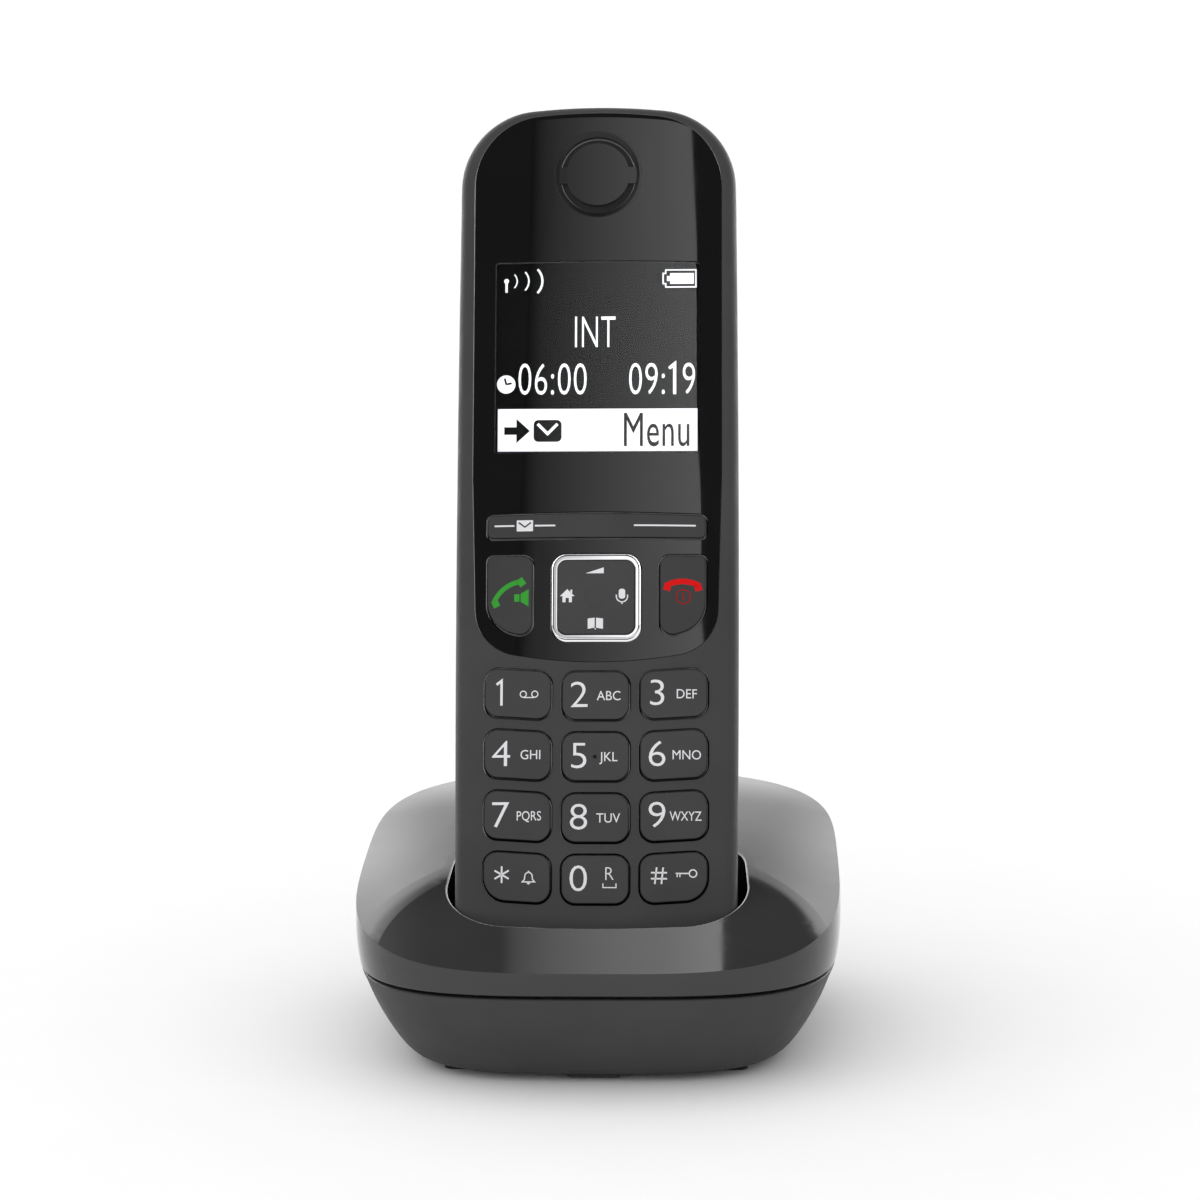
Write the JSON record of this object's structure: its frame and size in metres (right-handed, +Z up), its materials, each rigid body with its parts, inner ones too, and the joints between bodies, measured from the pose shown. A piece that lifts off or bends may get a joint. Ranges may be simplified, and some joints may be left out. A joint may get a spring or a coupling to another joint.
{
  "type": "cordless phone with base",
  "caption": "Slim cordless telephone handset with display, navigation key and numeric keypad, leaning back in the cradle of a squarish domed charging base.",
  "frame": {"origin": "on the table under the middle of the base's outline", "axes": "+Z up; the keypad and display face -Y and lean back 16 degrees; +X is to the right when looking at the keypad"},
  "size_m": [0.0832, 0.0885, 0.1599],
  "materials": {
    "matte_shell": "fine moulded grain, matt",
    "satin_cover": "satin moulded plastic with a soft reflection",
    "gloss_panel": "piano black, high gloss",
    "key_cap": "satin key caps with printed legends",
    "panel_key": "satin, darker than the keypad",
    "chrome_ring": "bright plating",
    "clear_lens": "clear polished window",
    "display_glass": "liquid crystal cell with a negative picture",
    "dark_frame": "moulded, matt",
    "speaker_cloth": "fine acoustic cloth",
    "speaker_metal": "drawn steel can",
    "silicone": "soft silicone",
    "circuit_board": "green solder mask",
    "tin_plate": "tin-plated sheet",
    "cell_sleeve": "wrapped steel cans",
    "spring_steel": "nickel-plated strip",
    "contact_gold": "gold-flashed contacts",
    "screw_steel": "zinc-plated",
    "foot_rubber": "soft, matt",
    "foot_rubber_key": "moulded, matt",
    "socket_plastic": "glass-filled nylon"
  },
  "bodies": {
    "base": {"base_top_cover": "satin_cover", "base_bottom_cover": "matte_shell", "rubber_feet": "foot_rubber", "base_board": "circuit_board", "base_shield": "tin_plate", "base_antenna": "tin_plate", "line_socket": "socket_plastic", "power_socket": "socket_plastic", "paging_switch": "socket_plastic", "base_screws": "screw_steel"},
    "handset": {"handset_front_shell": "matte_shell", "handset_rear_shell": "matte_shell", "faceplate": "gloss_panel", "display_lens": "clear_lens", "lcd_panel": "display_glass", "lcd_frame": "dark_frame", "earpiece_insert": "gloss_panel", "earpiece_mesh": "speaker_cloth", "earpiece_speaker": "speaker_metal", "keypad_mat": "silicone", "handset_board": "circuit_board", "radio_shield": "tin_plate", "handset_antenna": "tin_plate", "microphone": "speaker_metal", "battery_cells": "cell_sleeve", "battery_contacts": "spring_steel", "charge_pads": "contact_gold", "ringer_speaker": "speaker_metal", "handset_screws": "screw_steel"},
    "key_star": {"key_star": "key_cap"},
    "key_0": {"key_0": "key_cap"},
    "key_hash": {"key_hash": "key_cap"},
    "key_7": {"key_7": "key_cap"},
    "key_8": {"key_8": "key_cap"},
    "key_9": {"key_9": "key_cap"},
    "key_4": {"key_4": "key_cap"},
    "key_5": {"key_5": "key_cap"},
    "key_6": {"key_6": "key_cap"},
    "key_1": {"key_1": "key_cap"},
    "key_2": {"key_2": "key_cap"},
    "key_3": {"key_3": "key_cap"},
    "talk_key": {"talk_key": "panel_key"},
    "end_key": {"end_key": "panel_key"},
    "softkey_bar": {"softkey_bar": "panel_key"},
    "nav_pivot": {"nav_pivot": "dark_frame"},
    "nav_key": {"nav_key": "key_cap", "nav_ring": "chrome_ring"},
    "battery_cover": {"battery_cover": "matte_shell"},
    "charge_pin_left": {"charge_pin_left": "contact_gold"},
    "charge_pin_right": {"charge_pin_right": "contact_gold"},
    "paging_key": {"paging_key": "foot_rubber_key"}
  },
  "joints": [
    {"name": "handset_lift", "type": "slide", "parent": "base", "child": "handset", "axis": [0, 0.2756, 0.9613], "range_m": [0, 0.06]},
    {"name": "key_star_press", "type": "slide", "parent": "handset", "child": "key_star", "axis": [0, 0.9613, -0.2756], "range_m": [0, 0.0005], "stiffness_N_per_m": 400},
    {"name": "key_0_press", "type": "slide", "parent": "handset", "child": "key_0", "axis": [0, 0.9613, -0.2756], "range_m": [0, 0.0005], "stiffness_N_per_m": 400},
    {"name": "key_hash_press", "type": "slide", "parent": "handset", "child": "key_hash", "axis": [0, 0.9613, -0.2756], "range_m": [0, 0.0005], "stiffness_N_per_m": 400},
    {"name": "key_7_press", "type": "slide", "parent": "handset", "child": "key_7", "axis": [0, 0.9613, -0.2756], "range_m": [0, 0.0005], "stiffness_N_per_m": 400},
    {"name": "key_8_press", "type": "slide", "parent": "handset", "child": "key_8", "axis": [0, 0.9613, -0.2756], "range_m": [0, 0.0005], "stiffness_N_per_m": 400},
    {"name": "key_9_press", "type": "slide", "parent": "handset", "child": "key_9", "axis": [0, 0.9613, -0.2756], "range_m": [0, 0.0005], "stiffness_N_per_m": 400},
    {"name": "key_4_press", "type": "slide", "parent": "handset", "child": "key_4", "axis": [0, 0.9613, -0.2756], "range_m": [0, 0.0005], "stiffness_N_per_m": 400},
    {"name": "key_5_press", "type": "slide", "parent": "handset", "child": "key_5", "axis": [0, 0.9613, -0.2756], "range_m": [0, 0.0005], "stiffness_N_per_m": 400},
    {"name": "key_6_press", "type": "slide", "parent": "handset", "child": "key_6", "axis": [0, 0.9613, -0.2756], "range_m": [0, 0.0005], "stiffness_N_per_m": 400},
    {"name": "key_1_press", "type": "slide", "parent": "handset", "child": "key_1", "axis": [0, 0.9613, -0.2756], "range_m": [0, 0.0005], "stiffness_N_per_m": 400},
    {"name": "key_2_press", "type": "slide", "parent": "handset", "child": "key_2", "axis": [0, 0.9613, -0.2756], "range_m": [0, 0.0005], "stiffness_N_per_m": 400},
    {"name": "key_3_press", "type": "slide", "parent": "handset", "child": "key_3", "axis": [0, 0.9613, -0.2756], "range_m": [0, 0.0005], "stiffness_N_per_m": 400},
    {"name": "talk_key_press", "type": "slide", "parent": "handset", "child": "talk_key", "axis": [0, 0.9613, -0.2756], "range_m": [0, 0.0005], "stiffness_N_per_m": 400},
    {"name": "end_key_press", "type": "slide", "parent": "handset", "child": "end_key", "axis": [0, 0.9613, -0.2756], "range_m": [0, 0.0005], "stiffness_N_per_m": 400},
    {"name": "softkey_rock", "type": "hinge", "parent": "handset", "child": "softkey_bar", "pos_m": [0, -0.00404, 0.08875], "axis": [0, 0.2756, 0.9613], "range_deg": [-1.4, 1.4], "stiffness_Nm_per_rad": 0.2},
    {"name": "nav_tilt_up_down", "type": "hinge", "parent": "handset", "child": "nav_pivot", "pos_m": [0, -0.00743, 0.07693], "axis": [1, 0, 0], "range_deg": [-2.5, 2.5], "stiffness_Nm_per_rad": 0.2},
    {"name": "nav_tilt_left_right", "type": "hinge", "parent": "nav_pivot", "child": "nav_key", "pos_m": [0, -0.00743, 0.07693], "axis": [0, 0.2756, 0.9613], "range_deg": [-2.5, 2.5], "stiffness_Nm_per_rad": 0.2},
    {"name": "battery_cover_lift", "type": "slide", "parent": "handset", "child": "battery_cover", "axis": [0, 0.9613, -0.2756], "range_m": [0, 0.015]},
    {"name": "charge_pin_left_spring", "type": "slide", "parent": "base", "child": "charge_pin_left", "axis": [0, -0.9613, 0.2756], "range_m": [-0.001, 0], "stiffness_N_per_m": 400},
    {"name": "charge_pin_right_spring", "type": "slide", "parent": "base", "child": "charge_pin_right", "axis": [0, -0.9613, 0.2756], "range_m": [-0.001, 0], "stiffness_N_per_m": 400},
    {"name": "paging_key_press", "type": "slide", "parent": "base", "child": "paging_key", "axis": [0, 0, 1], "range_m": [0, 0.0006], "stiffness_N_per_m": 400}
  ]
}
